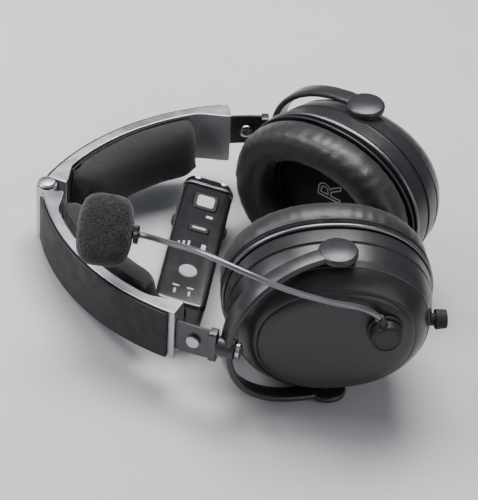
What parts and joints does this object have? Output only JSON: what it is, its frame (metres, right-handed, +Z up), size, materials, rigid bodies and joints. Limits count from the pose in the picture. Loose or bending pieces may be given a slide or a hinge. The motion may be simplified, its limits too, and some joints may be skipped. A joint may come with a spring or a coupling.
{
  "type": "aviation headset",
  "caption": "Folding over-ear pilot headset lying on its front, with a swing boom microphone and a flat battery control module lying in the headband loop.",
  "frame": {"origin": "centre of the bounding box's base: the floor the headset and its module rest on", "axes": "+X from the folding hinge towards the ear cups, +Y towards the right ear cup, +Z up from the floor"},
  "size_m": [0.202, 0.1836, 0.0909],
  "materials": {
    "satin_silver": "satin anodised silver",
    "gunmetal": "satin gunmetal",
    "steel": "brushed",
    "black_plastic": "fine matt moulding",
    "shell_grey": "satin dark grey shell",
    "leather": "soft black leatherette with fine creases",
    "black_cloth": "thin black mesh cloth",
    "pad_cloth": "charcoal woven cover over foam",
    "foam": "dark grey open-cell foam",
    "board_green": "solder mask",
    "button_grey": "light grey rubberised keys"
  },
  "bodies": {
    "band_left": {"headband_frame_left": "satin_silver", "pad_carrier_left": "black_plastic", "head_pad_left": "pad_cloth", "headband_trim_left": "black_plastic", "hinge_pin": "steel", "hinge_nut": "steel"},
    "band_right": {"headband_frame_right": "satin_silver", "pad_carrier_right": "black_plastic", "head_pad_right": "pad_cloth", "headband_trim_right": "black_plastic"},
    "slider_left": {"slider_left": "steel", "slider_screw_left": "steel", "swivel_nut_left": "steel"},
    "slider_right": {"slider_right": "steel", "slider_screw_right": "steel", "swivel_nut_right": "steel"},
    "yoke_left": {"yoke_left": "gunmetal"},
    "yoke_right": {"yoke_right": "gunmetal"},
    "cup_left": {"dome_left": "shell_grey", "accent_ring_left": "satin_silver", "baffle_plate_left": "black_plastic", "driver_left": "steel", "ear_seal_left": "leather", "speaker_cloth_left": "black_cloth", "dome_liner_left": "foam", "pivot_pin_back_left": "steel", "pivot_pin_front_left": "steel", "boom_base": "black_plastic", "cable_inlet_left_cup": "black_plastic"},
    "cup_right": {"dome_right": "shell_grey", "accent_ring_right": "satin_silver", "baffle_plate_right": "black_plastic", "driver_right": "steel", "ear_seal_right": "leather", "speaker_cloth_right": "black_cloth", "dome_liner_right": "foam", "pivot_pin_back_right": "steel", "pivot_pin_front_right": "steel"},
    "boom": {"boom_knob": "black_plastic", "boom_wire": "gunmetal"},
    "microphone": {"mic_bracket": "black_plastic", "mic_body": "black_plastic", "mic_windscreen": "foam", "windscreen_ring": "black_plastic"},
    "module": {"case_front": "black_plastic", "case_back": "black_plastic", "battery_1": "steel", "battery_2": "steel", "circuit_board": "board_green", "end_band": "satin_silver", "end_cap": "black_plastic", "cable_inlet_module_near": "black_plastic", "cable_inlet_module_far": "black_plastic"},
    "volume_left": {"volume_wheel_left": "black_plastic"},
    "volume_right": {"volume_wheel_right": "black_plastic"},
    "link_button": {"link_button": "button_grey"},
    "mode_button": {"mode_button": "button_grey"},
    "power_button": {"power_button": "button_grey"},
    "battery_door": {"battery_door": "black_plastic"}
  },
  "joints": [
    {"name": "headband_fold", "type": "hinge", "parent": "band_left", "child": "band_right", "pos_m": [-0.09345, 0.00241, 0.01681], "axis": [-0.1942, 0, 0.981], "range_deg": [0, 31]},
    {"name": "slider_travel_right", "type": "hinge", "parent": "band_right", "child": "slider_right", "pos_m": [0.01528, -0.02822, 0.03834], "axis": [0.1942, 0, -0.981], "range_deg": [-1, 6.5]},
    {"name": "yoke_swivel_right", "type": "hinge", "parent": "slider_right", "child": "yoke_right", "pos_m": [0.00482, 0.08647, 0.03626], "axis": [0.9701, 0.1487, 0.1921], "range_deg": [-6, 6]},
    {"name": "cup_tilt_right", "type": "hinge", "parent": "yoke_right", "child": "cup_right", "pos_m": [0.04908, 0.05901, 0.04503], "axis": [-0.1942, 0, 0.981], "range_deg": [-2, 8]},
    {"name": "slider_travel_left", "type": "hinge", "parent": "band_left", "child": "slider_left", "pos_m": [0.01528, 0.03305, 0.03834], "axis": [-0.1942, 0, 0.981], "range_deg": [-1, 10]},
    {"name": "yoke_swivel_left", "type": "hinge", "parent": "slider_left", "child": "yoke_left", "pos_m": [0.00482, -0.08164, 0.03626], "axis": [0.9701, -0.1487, 0.1921], "range_deg": [-6, 6]},
    {"name": "cup_tilt_left", "type": "hinge", "parent": "yoke_left", "child": "cup_left", "pos_m": [0.04908, -0.05419, 0.04503], "axis": [-0.1942, 0, 0.981], "range_deg": [-8, 8]},
    {"name": "boom_swing", "type": "hinge", "parent": "cup_left", "child": "boom", "pos_m": [0.07321, -0.06913, 0.05796], "axis": [-0.2273, 0.9728, -0.045], "range_deg": [0, 110]},
    {"name": "mic_turn", "type": "hinge", "parent": "boom", "child": "microphone", "pos_m": [-0.06277, -0.05659, 0.06264], "axis": [0.981, 0, 0.1942], "range_deg": [-15, 15]},
    {"name": "module_lift", "type": "slide", "parent": "band_left", "child": "module", "axis": [0, 0, 1], "range_m": [-0.002, 0.004]},
    {"name": "volume_left_turn", "type": "hinge", "parent": "module", "child": "volume_left", "pos_m": [-0.02775, 0.01901, 0.0173], "axis": [0, 0, 1], "range_deg": [-135, 135]},
    {"name": "volume_right_turn", "type": "hinge", "parent": "module", "child": "volume_right", "pos_m": [-0.01275, 0.01901, 0.0173], "axis": [0, 0, 1], "range_deg": [-135, 135]},
    {"name": "link_press", "type": "slide", "parent": "module", "child": "link_button", "axis": [0, 0, -1], "range_m": [0, 0.001], "stiffness_N_per_m": 800},
    {"name": "mode_press", "type": "slide", "parent": "module", "child": "mode_button", "axis": [0, 0, -1], "range_m": [0, 0.001], "stiffness_N_per_m": 800},
    {"name": "power_press", "type": "slide", "parent": "module", "child": "power_button", "axis": [0, 0, -1], "range_m": [0, 0.001], "stiffness_N_per_m": 800},
    {"name": "battery_door_slide", "type": "slide", "parent": "module", "child": "battery_door", "axis": [0, -1, 0], "range_m": [0, 0.045]}
  ]
}
